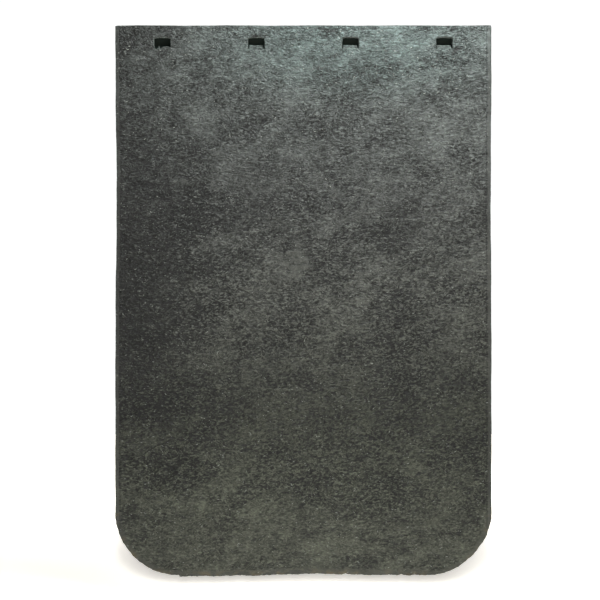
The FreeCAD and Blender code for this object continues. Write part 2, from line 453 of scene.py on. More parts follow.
reclaimedRubber = {
    # layers of grain: size across and up the flap, turn in degrees, octaves past the first, and how much it
    # adds to the tone and to the height; the first three are strands that take turns, the last lies over them
    "grain": [
        {"size": (5.4 * mm, 2.7 * mm), "turn": 4, "detail": 1.3, "tone": 2.8, "height": 1.0},
        {"size": (4.7 * mm, 2.4 * mm), "turn": 38, "detail": 1.2, "tone": 2.5, "height": 0.8},
        {"size": (4.3 * mm, 2.4 * mm), "turn": -46, "detail": 1.2, "tone": 2.5, "height": 0.8},
        {"size": (11 * mm, 4.6 * mm), "turn": -6, "detail": 3.0, "tone": 0.9, "height": 0.7},
    ],
    "patch": 17 * mm,          # over which the strands turn from one way to another
    "takeOver": [(0.56, 0.64), (0.4, 0.34)],    # patch noise where the second and third strands take over
    "creaseSize": (12 * mm, 4.6 * mm),
    "creaseReach": 0.03,
    "creaseBreaks": (0.42, 0.55),
    "creaseDepth": 0.3,        # against the grain's height
    "creaseShade": 0.8,
    "mottle": {"size": (18 * mm, 11 * mm), "tone": 0.85},
    "cloud": {"size": (95 * mm, 55 * mm), "tone": 0.85},
    # the grain's strength: heights on the flap, or cloud noise, and the strength at each of the two
    "pressedFlat": (-0.84, -0.66, 0.66, 1.22),
    "waxed": (-0.42, -0.02, 1.0, 0.48),
    "patchy": (0.35, 0.6, 1.25, 0.68),
    "midTone": 0.5,
    "toneCurve": 1.6,          # spreads the darks, so that they don't run together
    "dark": "#161815",
    "light": "#8b8c8a",
    # over the height, from the foot (0) to the top edge (1); the ends come first; lighter at the top, a
    # painted highlight from the light above, and at the foot, painted bounce light from the floor; the
    # blue-green near the top is a painted cool sheen
    "tintAndLightByHeight": [(0.0, "#d2d8c1"), (1.0, "#ecf6f4"), (0.15, "#bdc4ac"), (0.3, "#9aa08b"), (0.5, "#c8ccc2"),
              (0.68, "#bec3bf"), (0.9, "#d3ddda")],
    # patches on the face are (middle, reach, strength)
    "coolSheen": ((0.08, 0.0), (0.36, 0.13), 0.6),     # painted cool sheen: blue-green where the light above reflects most
    "coolSheenTint": "#dffffc",
    "scuffs": [((-0.012, -0.358), (0.045, 0.055), 1.0), ((0.085, -0.38), (0.05, 0.075), 0.8),
               ((0.19, -0.2), (0.05, 0.03), 0.15)],
    "rearScuffs": [((0.1, -0.5), (0.08, 0.1), 0.2)],
    "scuffEdge": (0.4, 0.56),  # mottle noise over which a scuff breaks up
    "scuffGrain": 0.15,        # share of the grain left in a scuff
    "scuffTone": 0.16,
    "streakSize": (4 * mm, 26 * mm),
    "streakTurn": 16,
    "streakEdge": (0.42, 0.62),
    # patches of painted shade, darker over the left where the light falls off; those below zero are painted
    # light on the right
    "sideShade": [((-0.31, -0.33), (0.2, 0.52), 0.62), ((-0.27, -0.4), (0.13, 0.25), 0.4),
               ((-0.1, -0.26), (0.13, 0.17), 0.2), ((0.24, -0.2), (0.13, 0.2), -0.14),
               ((-0.19, -0.6), (0.12, 0.12), 0.2), ((-0.28, 0.0), (0.15, 0.08), 0.35),
               ((0.3, -0.32), (0.07, 0.45), -0.12), ((0.155, -0.3), (0.1, 0.05), 0.3)],
    "sideShadeTone": 0.5,
    "borderWidth": 6.5 * mm,
    "borderCalm": 0.85,        # how far the sealed border smooths the grain away
    "borderMix": 0.5,
    "border": "#4c4d4b",
    "footWidth": 12 * mm,
    "footCalm": 0.7,
    "footMix": 0.6,
    "foot": "#4a4b45",
    "sideLine": (7.6 * mm, 1.9 * mm, 0.5),     # middle from the side, reach, strength
    "topLine": (5.6 * mm, 2.2 * mm, 0.35),
    "crease": "#0e100f",
    "dustReach": 11 * mm,
    "dustEdge": (0.5, 0.68),
    "dustMix": 0.55,
    "ochre": "#6b5a3a",
    "roughness": (0.34, 0.56),
    "sheen": 0.38,             # a dusty skin reflects less than clean rubber, which is 0.5
    "relief": 7.0 * mm,        # height that the shader gives to the fine grain
}

rubberIndex = 1.52

tornRubber = {
    "tear": (6 * mm, 2.4 * mm, 1.7 * mm),      # size of the tears across, through and up the sheet
    "shadeEdge": (0.43, 0.6),
    "dark": "#0a0f0c",
    "light": "#5b6963",
    "depth": 2.5 * mm,
    "roughness": 0.7,
}

gumRubber = {
    "flow": (2 * mm, 1.5 * mm, 25 * mm),
    "dark": "#2c2e2d",
    "light": "#474a48",
    "depth": 0.3 * mm,
    "roughness": 0.5,
}

plyCord = {
    "thread": 1.5 * mm,        # coarser than a real thread, which would be too fine to show
    "light": "#444642",
    "dark": "#212320",
    "depth": 0.4 * mm,
    "roughness": 0.85,
}


def combine(tree, operation, first, second):
    return addNode(tree, "ShaderNodeMath", {"operation": operation}, {0: first, 1: second}).outputs[0]


def product(tree, first, *others):
    for other in others:
        first = combine(tree, "MULTIPLY", first, other)
    return first


def centred(tree, value, gain):
    node = addNode(tree, "ShaderNodeMath", {"operation": "MULTIPLY_ADD"}, {0: value, 1: gain, 2: -0.5 * gain})
    return node.outputs[0]


def mapped(tree, value, low, high, atLow=0.0, atHigh=1.0, eased=False):
    # the value's run from low to high becomes atLow to atHigh, and is held beyond that
    kind = {"interpolation_type": "SMOOTHSTEP" if eased else "LINEAR"}
    limits = {"Value": value, "From Min": low, "From Max": high, "To Min": atLow, "To Max": atHigh}
    return addNode(tree, "ShaderNodeMapRange", kind, limits).outputs[0]


def mixed(tree, share, first, second, blend="MIX"):
    settings = {"data_type": "RGBA", "blend_type": blend}
    return addNode(tree, "ShaderNodeMix", settings, {0: share, 6: first, 7: second}).outputs[2]


def divided(tree, place, size):
    # a place counted in steps of the given size
    return addNode(tree, "ShaderNodeVectorMath", {"operation": "DIVIDE"}, {0: place, 1: size}).outputs[0]


def noted(tree, name, output="Fac"):
    # an attribute that the mesh carries
    return addNode(tree, "ShaderNodeAttribute", {"attribute_name": name}).outputs[output]


def drive(tree, shader, colour, normalHeight=None, strength=1.0, distance=0.0):
    # links the colour and, where a height is given, its bump
    tree.links.new(colour, shader.inputs["Base Color"])
    if normalHeight:
        bump = addNode(tree, "ShaderNodeBump", None,
                       {"Strength": strength, "Distance": distance, "Height": normalHeight})
        tree.links.new(bump.outputs[0], shader.inputs["Normal"])


def plainNoise(tree, place, detail, roughness=0.5, distortion=0.0):
    values = {"Vector": place, "Scale": 1.0, "Detail": detail, "Roughness": roughness,
              "Distortion": distortion}
    return addNode(tree, "ShaderNodeTexNoise", None, values).outputs[0]


def grainNoise(tree, place, size, turn, detail, distortion):
    # noise drawn out along one direction in the plane of the flap
    turned = addNode(tree, "ShaderNodeVectorRotate", {"rotation_type": "Y_AXIS"},
                     {"Vector": place, "Angle": math.radians(turn)})
    scaled = divided(tree, turned.outputs[0], (size[0], max(size) * 1.2, size[1]))
    return plainNoise(tree, scaled, detail, 0.55, distortion)


def grainNodes(tree, place):
    # the same strands and creases drive the mesh relief and the shader; place is the resting place in metres
    rubber = reclaimedRubber
    made = [grainNoise(tree, place, layer["size"], layer["turn"], layer["detail"], 0.8)
            for layer in rubber["grain"]]
    patch = grainNoise(tree, place, (rubber["patch"], rubber["patch"]), 20, 1.0, 0.4)
    turns = [mapped(tree, patch, low, high, eased=True) for low, high in rubber["takeOver"]]
    sums = []
    for key in ("tone", "height"):
        strands = [centred(tree, noise, layer[key]) for noise, layer in zip(made, rubber["grain"])]
        strand = strands[0]
        for turn, other in zip(turns, strands[1:]):
            mix = addNode(tree, "ShaderNodeMix", {"data_type": "FLOAT"}, {0: turn, 2: strand, 3: other})
            strand = mix.outputs[0]
        sums.append(combine(tree, "ADD", strand, strands[3]))
    worm = grainNoise(tree, place, rubber["creaseSize"], 8, 1.5, 1.5)
    gap = addNode(tree, "ShaderNodeMath", {"operation": "ABSOLUTE"}, {0: centred(tree, worm, 1.0)}).outputs[0]
    crease = mapped(tree, gap, 0.0, rubber["creaseReach"], 1.0, 0.0, eased=True)
    comesAndGoes = mapped(tree, made[3], *rubber["creaseBreaks"])
    return sums[0], sums[1], product(tree, crease, comesAndGoes)


def newMaterial(name):
    material = bpy.data.materials.new(name)
    material.use_nodes = True
    tree = material.node_tree
    tree.nodes.clear()
    shader = tree.nodes.new("ShaderNodeBsdfPrincipled")
    output = addNode(tree, "ShaderNodeOutputMaterial", None, {"Surface": shader.outputs[0]})
    output.location = (300, 0)
    return material, tree, shader


def spotNodes(tree, place, spots):
    # soft-edged patches at given places on the face, added up
    total = 0.0
    for (x, z), (reachX, reachZ), strength in spots:
        offset = addNode(tree, "ShaderNodeVectorMath", {"operation": "SUBTRACT"}, {0: place, 1: (x, 0, z)})
        scaled = divided(tree, offset.outputs[0], (reachX, 1, reachZ))
        away = addNode(tree, "ShaderNodeVectorMath", {"operation": "LENGTH"}, {0: scaled}).outputs["Value"]
        total = combine(tree, "ADD", mapped(tree, away, 0.15, 1.0, strength, 0.0, eased=True), total)
    return total


def pressedRubber(name, shift, wornAndShaded):
    # reclaimed rubber pressed between platens: fibrous and creased; its tone follows the grain's height, so
    # the high points are lighter, partly the grain's own tone and partly a painted highlight on the raised
    # strands
    rubber = reclaimedRubber
    material, tree, shader = newMaterial(name)
    rest = noted(tree, "restPlace", "Vector")
    place = addNode(tree, "ShaderNodeVectorMath", {"operation": "ADD"}, {0: rest, 1: shift}).outputs[0]
    fromSide, fromCut = noted(tree, "fromSide"), noted(tree, "fromCut")
    tone, height, crease = grainNodes(tree, place)
    mottle = grainNoise(tree, place, rubber["mottle"]["size"], 0, 4.0, 0.6)
    cloud = grainNoise(tree, place, rubber["cloud"]["size"], 12, 3.0, 0.5)
    upDown = addNode(tree, "ShaderNodeSeparateXYZ", None, {0: rest}).outputs["Z"]

    # the foot was pressed flatter and the top is waxed over, so there is less grain there, and in patches
    flattened = mapped(tree, upDown, *rubber["pressedFlat"], eased=True)
    waxed = mapped(tree, upDown, *rubber["waxed"], eased=True)
    strength = product(tree, flattened, waxed, mapped(tree, cloud, *rubber["patchy"]))

    # sealed along the sides, smoother above the cut, and rubbed smooth in the scuffs
    width, reach = rubber["borderWidth"], rubber["footWidth"]
    border = mapped(tree, fromSide, width * 0.75, width, rubber["borderCalm"], 0.0, eased=True)
    foot = mapped(tree, fromCut, reach * 0.6, reach, rubber["footCalm"], 0.0, eased=True)
    scuff = product(tree, spotNodes(tree, rest, rubber["scuffs"] if wornAndShaded else rubber["rearScuffs"]),
                    mapped(tree, mottle, *rubber["scuffEdge"]))
    streaks = grainNoise(tree, place, rubber["streakSize"], rubber["streakTurn"], 2.0, 0.8)
    scuffed = product(tree, scuff, mapped(tree, streaks, *rubber["streakEdge"]))
    calm = product(tree, combine(tree, "SUBTRACT", 1.0, combine(tree, "MAXIMUM", border, foot)),
                   mapped(tree, scuff, 0.0, 1.0, 1.0, rubber["scuffGrain"]))

    # all the tones added up, then curved and coloured
    # painted highlight: the grain's tone rises with its height, so the raised strands are lighter, as well as
    # the grain's own tone
    tones = combine(tree, "ADD", product(tree, tone, strength, calm), rubber["midTone"])
    tones = combine(tree, "ADD", tones, centred(tree, mottle, rubber["mottle"]["tone"]))
    tones = combine(tree, "ADD", tones, centred(tree, cloud, rubber["cloud"]["tone"]))
    tones = combine(tree, "ADD", tones, product(tree, scuffed, rubber["scuffTone"]))
    if wornAndShaded:
        # painted shade over the left side and painted light in two places on the right
        sideShade = spotNodes(tree, rest, rubber["sideShade"])
        tones = combine(tree, "SUBTRACT", tones, product(tree, sideShade, rubber["sideShadeTone"]))
    curved = combine(tree, "POWER", combine(tree, "MAXIMUM", tones, 0.0), rubber["toneCurve"])
    colour = mixed(tree, curved, hexColour(rubber["dark"]), hexColour(rubber["light"]))
    # painted shade: the creases darkened with the crease colour, for the shade that falls in them
    colour = mixed(tree, product(tree, crease, calm, strength, rubber["creaseShade"]), colour,
                   hexColour(rubber["crease"]))

    # painted light over the height: lighter and blue-green towards the top, a painted highlight and cool
    # sheen from the light above, lighter at the foot, painted bounce from the floor, olive towards the bottom
    tint = addNode(tree, "ShaderNodeValToRGB", None, {"Fac": mapped(tree, upDown, bottomEdge, topEdge)})
    ramp = tint.color_ramp.elements
    for at, tintColour in rubber["tintAndLightByHeight"]:
        element = ramp[int(at)] if at in (0, 1) else ramp.new(at)
        element.color = hexColour(tintColour)
    colour = mixed(tree, 1.0, colour, tint.outputs[0], "MULTIPLY")
    # painted reflection: the top middle turned blue-green, as a cool light above would reflect there
    coolSheen = spotNodes(tree, rest, [rubber["coolSheen"]])
    colour = mixed(tree, coolSheen, colour, hexColour(rubber["coolSheenTint"]), "MULTIPLY")
    colour = mixed(tree, product(tree, border, rubber["borderMix"]), colour, hexColour(rubber["border"]))
    colour = mixed(tree, product(tree, foot, rubber["footMix"]), colour, hexColour(rubber["foot"]))

    # a dark line where the mould's side bars and top bar ended
    lines = []
    fromTop = combine(tree, "SUBTRACT", topEdge, upDown)
    for distance, (middle, reach, strong) in ((fromSide, rubber["sideLine"]), (fromTop, rubber["topLine"])):
        off = combine(tree, "SUBTRACT", distance, middle)
        gap = addNode(tree, "ShaderNodeMath", {"operation": "ABSOLUTE"}, {0: off}).outputs[0]
        lines.append(mapped(tree, gap, 0.0, reach, strong, 0.0, eased=True))
    colour = mixed(tree, combine(tree, "MAXIMUM", *lines), colour, hexColour(rubber["crease"]))

    # dust from the road along the cut
    dust = product(tree, mapped(tree, fromCut, 0.0, rubber["dustReach"], 1.0, 0.0, eased=True),
                   mapped(tree, mottle, *rubber["dustEdge"]), rubber["dustMix"])
    colour = mixed(tree, dust, colour, hexColour(rubber["ochre"]))

    carved = combine(tree, "SUBTRACT", height, product(tree, crease, rubber["creaseDepth"]))
    drive(tree, shader, colour, product(tree, carved, calm, strength), 1.0, rubber["relief"])
    tree.links.new(mapped(tree, mottle, 0.3, 0.7, *rubber["roughness"]), shader.inputs["Roughness"])
    shader.inputs["IOR"].default_value = rubberIndex
    shader.inputs["Specular IOR Level"].default_value = rubber["sheen"]
    return material


def cutRubber():
    # rubber cut by a punch or a knife: torn, matt, darker than the pressed face, with fibre crumb in it
    rubber = tornRubber
    material, tree, shader = newMaterial("cutReclaimedRubber")
    torn = plainNoise(tree, divided(tree, noted(tree, "restPlace", "Vector"), rubber["tear"]), 3.0, 0.6, 0.5)
    shade = mapped(tree, torn, *rubber["shadeEdge"])
    colour = mixed(tree, shade, hexColour(rubber["dark"]), hexColour(rubber["light"]))
    drive(tree, shader, colour, torn, 1.0, rubber["depth"])
    shader.inputs["Roughness"].default_value = rubber["roughness"]
    shader.inputs["IOR"].default_value = rubberIndex
    return material


def sealedRubber():
    # solid gum rubber moulded along each side: smooth, with a faint flow grain down its length
    rubber = gumRubber
    material, tree, shader = newMaterial("mouldedGumRubber")
    flow = plainNoise(tree, divided(tree, noted(tree, "restPlace", "Vector"), rubber["flow"]), 3.0)
    colour = mixed(tree, flow, hexColour(rubber["dark"]), hexColour(rubber["light"]))
    drive(tree, shader, colour, flow, 0.3, rubber["depth"])
    shader.inputs["Roughness"].default_value = rubber["roughness"]
    shader.inputs["IOR"].default_value = rubberIndex
    return material


def cordFabric():
    # woven tyre cord dipped in resin: dull grey threads, seen end on where the sheet is cut
    material, tree, shader = newMaterial("dippedCordFabric")
    place = divided(tree, noted(tree, "restPlace", "Vector"), (plyCord["thread"],) * 3)
    cell = addNode(tree, "ShaderNodeTexVoronoi", None, {"Vector": place, "Scale": 1.0}).outputs[0]
    colour = mixed(tree, cell, hexColour(plyCord["light"]), hexColour(plyCord["dark"]))
    drive(tree, shader, colour, cell, 0.8, plyCord["depth"])
    shader.inputs["Roughness"].default_value = plyCord["roughness"]
    return material


pressed = pressedRubber("pressedReclaimedRubber", (0, 0, 0), True)
pressedBack = pressedRubber("pressedReclaimedRubberBack", (0.71, 0.3, 0.43), False)
cutFace, gum, ply = cutRubber(), sealedRubber(), cordFabric()
print("materials made")


# ---- the layers ----

relief = {
    "grainHeight": 1.1 * mm,       # the grain's noise uses about a third of this either way
    "creaseDepth": 0.2 * mm,
    "swellHeight": 0.35 * mm,
    "swellSize": 70 * mm,
    "slotLip": 0.45 * mm,
    "borderGrain": 0.2,           # share of the grain left on the sealed border
}

# spacing of the points across and up each face
grids = {
    "frontFace": (3.2 * mm, 2.02 * mm),
    "rearFace": (3.4 * mm, 2.3 * mm),
    "hidden": (18 * mm, 8 * mm),
    "strip": (3 * mm, 6 * mm),
}

beads = {"ply": 0.25 * mm, "skim": 0.35 * mm, "strip": 0.1 * mm}      # how round each layer's cut edge is


def newTree(name, floats, others=()):
    # a modifier tree with a geometry in and out, and named inputs
    tree = bpy.data.node_groups.new(name, "GeometryNodeTree")
    tree.is_modifier = True
    tree.interface.new_socket("Geometry", in_out="INPUT", socket_type="NodeSocketGeometry")
    for label in floats:
        tree.interface.new_socket(label, in_out="INPUT", socket_type="NodeSocketFloat")
    for label, kind in others:
        tree.interface.new_socket(label, in_out="INPUT", socket_type=kind)
    tree.interface.new_socket("Geometry", in_out="OUTPUT", socket_type="NodeSocketGeometry")
    return tree, tree.nodes.new("NodeGroupInput").outputs


def stored(tree, name, kind="FLOAT"):
    # an attribute that the mesh carries, read by a modifier tree
    return addNode(tree, "GeometryNodeInputNamedAttribute", {"data_type": kind}, {"Name": name}).outputs[0]


def reliefTree(outward):
    # lifts the pressed face along its normal, then gives the face and the walls their rubbers
    names = [("faceRubber", "NodeSocketMaterial"), ("cutRubber", "NodeSocketMaterial")]
    tree, given = newTree("pressedRelief", list(relief), names)
    place = stored(tree, "restPlace", "FLOAT_VECTOR")
    height, crease = grainNodes(tree, place)[1:]
    grainy = combine(tree, "SUBTRACT", product(tree, height, given["grainHeight"]),
                     product(tree, crease, given["creaseDepth"]))
    fromSide, width = stored(tree, "fromSide"), reclaimedRubber["borderWidth"]
    border = mapped(tree, fromSide, width * 0.8, width * 1.15, given["borderGrain"], 1.0, eased=True)
    swell = plainNoise(tree, divided(tree, place, given["swellSize"]), 2.0)
    swollen = addNode(tree, "ShaderNodeMapRange", {"clamp": False},
                      {"Value": swell, "From Min": 0.5, "From Max": 0.75, "To Min": 0.0,
                       "To Max": given["swellHeight"]}).outputs[0]
    total = combine(tree, "ADD", product(tree, grainy, border), swollen)
    total = combine(tree, "ADD", total, product(tree, stored(tree, "slotLip"), given["slotLip"]))
    lift = addNode(tree, "ShaderNodeVectorMath", {"operation": "SCALE"},
                   {0: (0, outward, 0), "Scale": product(tree, total, stored(tree, "grainShare"))}).outputs[0]
    moved = addNode(tree, "GeometryNodeSetPosition", None, {"Geometry": given["Geometry"], "Offset": lift})
    whole = addNode(tree, "GeometryNodeRealizeInstances", None, {"Geometry": moved.outputs[0]})
    walls = addNode(tree, "GeometryNodeSetMaterial", None,
                    {"Geometry": whole.outputs[0], "Material": given["cutRubber"]})
    faced = addNode(tree, "GeometryNodeSetMaterial", None,
                    {"Geometry": walls.outputs[0], "Selection": stored(tree, "onFace"),
                     "Material": given["faceRubber"]})
    addNode(tree, "NodeGroupOutput", None, {"Geometry": faced.outputs[0]})
    return tree


def runTree(piece, tree, values):
    # sets the inputs by identifier, turns the result into the piece's own mesh and drops the modifier
    modifier = piece.modifiers.new(tree.name, "NODES")
    modifier.node_group = tree
    ids = {item.name: item.identifier for item in tree.interface.items_tree if item.in_out == "INPUT"}
    for name, value in values.items():
        modifier[ids[name]] = value
    graph = bpy.context.evaluated_depsgraph_get()
    made = piece.evaluated_get(graph)
    mesh = bpy.data.meshes.new_from_object(made, preserve_all_data_layers=True, depsgraph=graph)
    piece.modifiers.remove(modifier)
    piece.data = mesh
    mesh.name = piece.name


def finishLayer(piece, nodes):
    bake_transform(piece)
    if nodes:
        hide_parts(*nodes)


def makeCover(name, node, face, back, grid, outward, skin):
    loops = layerLoops(0)
    piece = closedSheet(name, loops, coverRings(loops, face, back), grid, grids["hidden"])
    runTree(piece, reliefTree(outward), {**relief, "faceRubber": skin, "cutRubber": cutFace})
    finishLayer(piece, [f"{node}_band", f"{node}_panel"])
    print(name, len(piece.data.polygons))
    return piece


def makeInner(name, node, bead, material):
    low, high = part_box(f"{node}_band")
    loops = layerLoops(stripWidth)
    rings = wallRings(low[1], high[1], bead, slots["count"])
    piece = closedSheet(name, loops, rings, grids["hidden"], grids["hidden"])
    piece.data.materials.append(material)
    finishLayer(piece, [f"{node}_band", f"{node}_panel"])


def makeStrip(name, node, right):
    low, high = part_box(f"{node}_band")
    loop = stripLoop(right)
    rings = wallRings(low[1], high[1], beads["strip"], 0)
    piece = closedSheet(name, lambda depth: [loop], rings, grids["strip"], grids["strip"])
    piece.data.materials.append(gum)
    finishLayer(piece, [f"{node}_band", f"{node}_panel"])


frontCover = makeCover("frontCover", "front_cover", frontFace, coverHigh[1], grids["frontFace"], -1, pressed)
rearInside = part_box("rear_cover_band")[0][1]
rearCover = makeCover("rearCover", "rear_cover", rearFace, rearInside, grids["rearFace"], 1, pressedBack)
makeInner("frontPly", "front_ply", beads["ply"], ply)
makeInner("coreSkim", "core_skim", beads["skim"], cutFace)
makeInner("rearPly", "rear_ply", beads["ply"], ply)
makeStrip("leftEdgeStrip", "left_edge_strip", False)
makeStrip("rightEdgeStrip", "right_edge_strip", True)
print("layers made")


# ---- crumb and fibre pressed into the faces, and cord ends along the cut ----

flecks = {
    "frontDensity": 7500,       # a square metre
    "rearDensity": 3500,
    "length": (1.3 * mm, 4.6 * mm),
    "width": (0.6 * mm, 1.25 * mm),
    "stand": 0.22 * mm,         # how far the middle stands out of the face
    "patch": (38 * mm, 30 * mm),
    "patchShare": (0.38, 0.66, 0.1, 1.8),      # patch noise, and the share of the density at each of the two
    "dull": "#4a4e4b",
    "pale": "#959a92",
    "seed": 21,
}

cordEnds = {
    "spacing": 2.1 * mm,
    "length": (0.8 * mm, 3.0 * mm),
    "radius": 0.32 * mm,
    "missing": 0.38,            # share of the cords that were cut off flush
    "rust": "#3a2a20",
    "straw": "#8a6a4c",
}


def tonedMaterial(name, low, high, roughness):
    # each bit has its own tone between the two colours
    material, tree, shader = newMaterial(name)
    drive(tree, shader, mixed(tree, noted(tree, "bitTone"), hexColour(low), hexColour(high)))
    shader.inputs["Roughness"].default_value = roughness
    return material


def randomBetween(tree, low, high, seed, kind="FLOAT"):
    node = addNode(tree, "FunctionNodeRandomValue", {"data_type": kind})
    slot = {"FLOAT": (2, 3), "FLOAT_VECTOR": (0, 1)}[kind]
    for index, value in zip(slot, (low, high)):
        if isinstance(value, bpy.types.NodeSocket):
            tree.links.new(value, node.inputs[index])
        else:
            node.inputs[index].default_value = value
    node.inputs["Seed"].default_value = seed
    return node.outputs[0 if kind == "FLOAT_VECTOR" else 1]


def scatter(tree, points, bit, turn, scale, toneSeed, material):
    # a bit at each point, each with its own tone, made real and given its material
    placed = addNode(tree, "GeometryNodeInstanceOnPoints", None,
                     {"Points": points, "Instance": bit, "Rotation": turn, "Scale": scale})
    toned = addNode(tree, "GeometryNodeStoreNamedAttribute", {"data_type": "FLOAT", "domain": "INSTANCE"},
                    {"Geometry": placed.outputs[0], "Name": "bitTone",
                     "Value": randomBetween(tree, 0.0, 1.0, toneSeed)})
    whole = addNode(tree, "GeometryNodeRealizeInstances", None, {"Geometry": toned.outputs[0]})
    finished = addNode(tree, "GeometryNodeSetMaterial", None,
                       {"Geometry": whole.outputs[0], "Material": material})
    addNode(tree, "NodeGroupOutput", None, {"Geometry": finished.outputs[0]})


def fleckTree():
    # scatters squashed ovals over the face it is given, more in some patches than in others
    names = ("density", "short", "long", "narrow", "wide", "stand")
    others = [("seed", "NodeSocketInt"), ("fibre", "NodeSocketMaterial")]
    tree, given = newTree("pressedFlecks", names, others)
    place = addNode(tree, "GeometryNodeInputPosition").outputs[0]
    patchy = mapped(tree, grainNoise(tree, place, flecks["patch"], 0, 2.0, 0.4), *flecks["patchShare"])
    points = addNode(tree, "GeometryNodeDistributePointsOnFaces", None,
                     {"Mesh": given["Geometry"], "Density": product(tree, given["density"], patchy),
                      "Seed": given["seed"]})
    oval = addNode(tree, "GeometryNodeMeshUVSphere", None, {"Segments": 7, "Rings": 4, "Radius": 0.5})
    smoothed = addNode(tree, "GeometryNodeSetShadeSmooth", None, {"Geometry": oval.outputs["Mesh"]})
    # few are long
    skewed = combine(tree, "POWER", randomBetween(tree, 0.0, 1.0, 3), 2.2)
    long = mapped(tree, skewed, 0.0, 1.0, given["short"], given["long"])
    wide = randomBetween(tree, given["narrow"], given["wide"], 8)
    double = product(tree, given["stand"], 2.0)
    scale = addNode(tree, "ShaderNodeCombineXYZ", None, {"X": long, "Y": double, "Z": wide}).outputs[0]
    # mostly lying across the flap, some turned any way
    lean = randomBetween(tree, -0.5, 0.5, 11)
    free = randomBetween(tree, -1.6, 1.6, 12)
    isFree = combine(tree, "GREATER_THAN", randomBetween(tree, 0.0, 1.0, 13), 0.6)
    angle = addNode(tree, "ShaderNodeMix", {"data_type": "FLOAT"}, {0: isFree, 2: lean, 3: free}).outputs[0]
    turn = addNode(tree, "ShaderNodeCombineXYZ", None, {"Y": angle}).outputs[0]
    scatter(tree, points.outputs["Points"], smoothed.outputs[0], turn, scale, 17, given["fibre"])
    return tree


def makeFlecks(name, cover, density, seed):
    # grown on a copy of the cover's pressed face only
    mesh = cover.data
    onFace = np.empty(len(mesh.polygons), np.float32)
    mesh.attributes["onFace"].data.foreach_get("value", onFace)
    piece = bpy.data.objects.new(name, mesh.copy())
    bpy.context.scene.collection.objects.link(piece)
    source = bmesh.new()
    source.from_mesh(piece.data)
    source.faces.ensure_lookup_table()
    walls = [source.faces[i] for i in np.flatnonzero(onFace < 0.5)]
    bmesh.ops.delete(source, geom=walls, context="FACES")
    source.to_mesh(piece.data)
    source.free()
    (short, long), (narrow, wide) = flecks["length"], flecks["width"]
    values = {"density": density, "short": short, "long": long, "narrow": narrow, "wide": wide,
              "stand": flecks["stand"], "seed": seed, "fibre": fibre}
    runTree(piece, fleckTree(), values)
    finishLayer(piece, [])
    print(name, len(piece.data.polygons))


def cordTree():
    # a short frayed cord at each point of the cut line it is given
    names = ("spacing", "short", "long", "radius", "missing")
    tree, given = newTree("frayedCords", names, [("cord", "NodeSocketMaterial")])
    line = addNode(tree, "GeometryNodeMeshToCurve", None, {"Mesh": given["Geometry"]})
    points = addNode(tree, "GeometryNodeCurveToPoints", {"mode": "LENGTH"},
                     {"Curve": line.outputs[0], "Length": given["spacing"]})
    isMissing = combine(tree, "GREATER_THAN", randomBetween(tree, 0.0, 1.0, 2),
                        combine(tree, "SUBTRACT", 1.0, given["missing"]))
    kept = addNode(tree, "GeometryNodeDeleteGeometry", {"domain": "POINT"},
                   {"Geometry": points.outputs["Points"], "Selection": isMissing})
    taper = {"Vertices": 6, "Side Segments": 2, "Radius Top": 0.45, "Radius Bottom": 1.0, "Depth": 1.0}
    cone = addNode(tree, "GeometryNodeMeshCone", None, taper)
    rooted = addNode(tree, "GeometryNodeTransform", None,
                     {"Geometry": cone.outputs["Mesh"], "Translation": (0, 0, -0.35)})
    long = randomBetween(tree, given["short"], given["long"], 5)
    scale = addNode(tree, "ShaderNodeCombineXYZ", None,
                    {"X": given["radius"], "Y": given["radius"], "Z": long}).outputs[0]
    turned = addNode(tree, "FunctionNodeAlignRotationToVector", {"axis": "Z"},
                     {"Vector": stored(tree, "inward", "FLOAT_VECTOR")}).outputs[0]
    sway = randomBetween(tree, (-0.5, -0.7, 0.0), (0.5, 0.7, 0.0), 6, "FLOAT_VECTOR")
    swung = addNode(tree, "FunctionNodeRotateRotation", None, {"Rotation": turned, "Rotate By": sway})
    scatter(tree, kept.outputs[0], rooted.outputs[0], swung.outputs[0], scale, 9, given["cord"])
    return tree


def makeCordEnds():
    # the cut line runs along the bottom and up both corners, at the depth of each ply
    loop = outerLoop(0)
    keep = loop["cut"] == 1
    points, normals = loop["points"][keep], loop["normals"][keep]
    verts, edges, inward = [], [], []
    order = np.argsort(np.arctan2(points[:, 0], -(points[:, 1] - bottomEdge - 0.5)))
    for node in ("front_ply_panel", "rear_ply_panel"):
        low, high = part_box(node)
        start = len(verts)
        for i in order:
            verts.append((points[i][0], (low[1] + high[1]) / 2, points[i][1]))
            inward.append((-normals[i][0], 0, -normals[i][1]))
        edges += [(start + i, start + i + 1) for i in range(len(order) - 1)]
    mesh = bpy.data.meshes.new("cordEnds")
    mesh.from_pydata(verts, edges, [])
    direction = mesh.attributes.new("inward", "FLOAT_VECTOR", "POINT")
    direction.data.foreach_set("vector", np.array(inward).ravel())
    piece = bpy.data.objects.new("cordEnds", mesh)
    bpy.context.scene.collection.objects.link(piece)
    short, long = cordEnds["length"]
    values = {"spacing": cordEnds["spacing"], "short": short, "long": long, "radius": cordEnds["radius"],
              "missing": cordEnds["missing"], "cord": frayed}
    runTree(piece, cordTree(), values)
    finishLayer(piece, [])
    print("cordEnds", len(piece.data.polygons))


# chopped tyre fibre and buffed crumb, pale grey, dulled by the rubber film on it
fibre = tonedMaterial("choppedFibreCrumb", flecks["dull"], flecks["pale"], 0.5)
# cut polyester cord, rust and straw coloured from its dip
frayed = tonedMaterial("frayedPolyesterCord", cordEnds["rust"], cordEnds["straw"], 0.8)
makeFlecks("frontFlecks", frontCover, flecks["frontDensity"], flecks["seed"])
makeFlecks("rearFlecks", rearCover, flecks["rearDensity"], flecks["seed"] + 1)
makeCordEnds()


# ---- stage, light and camera ----

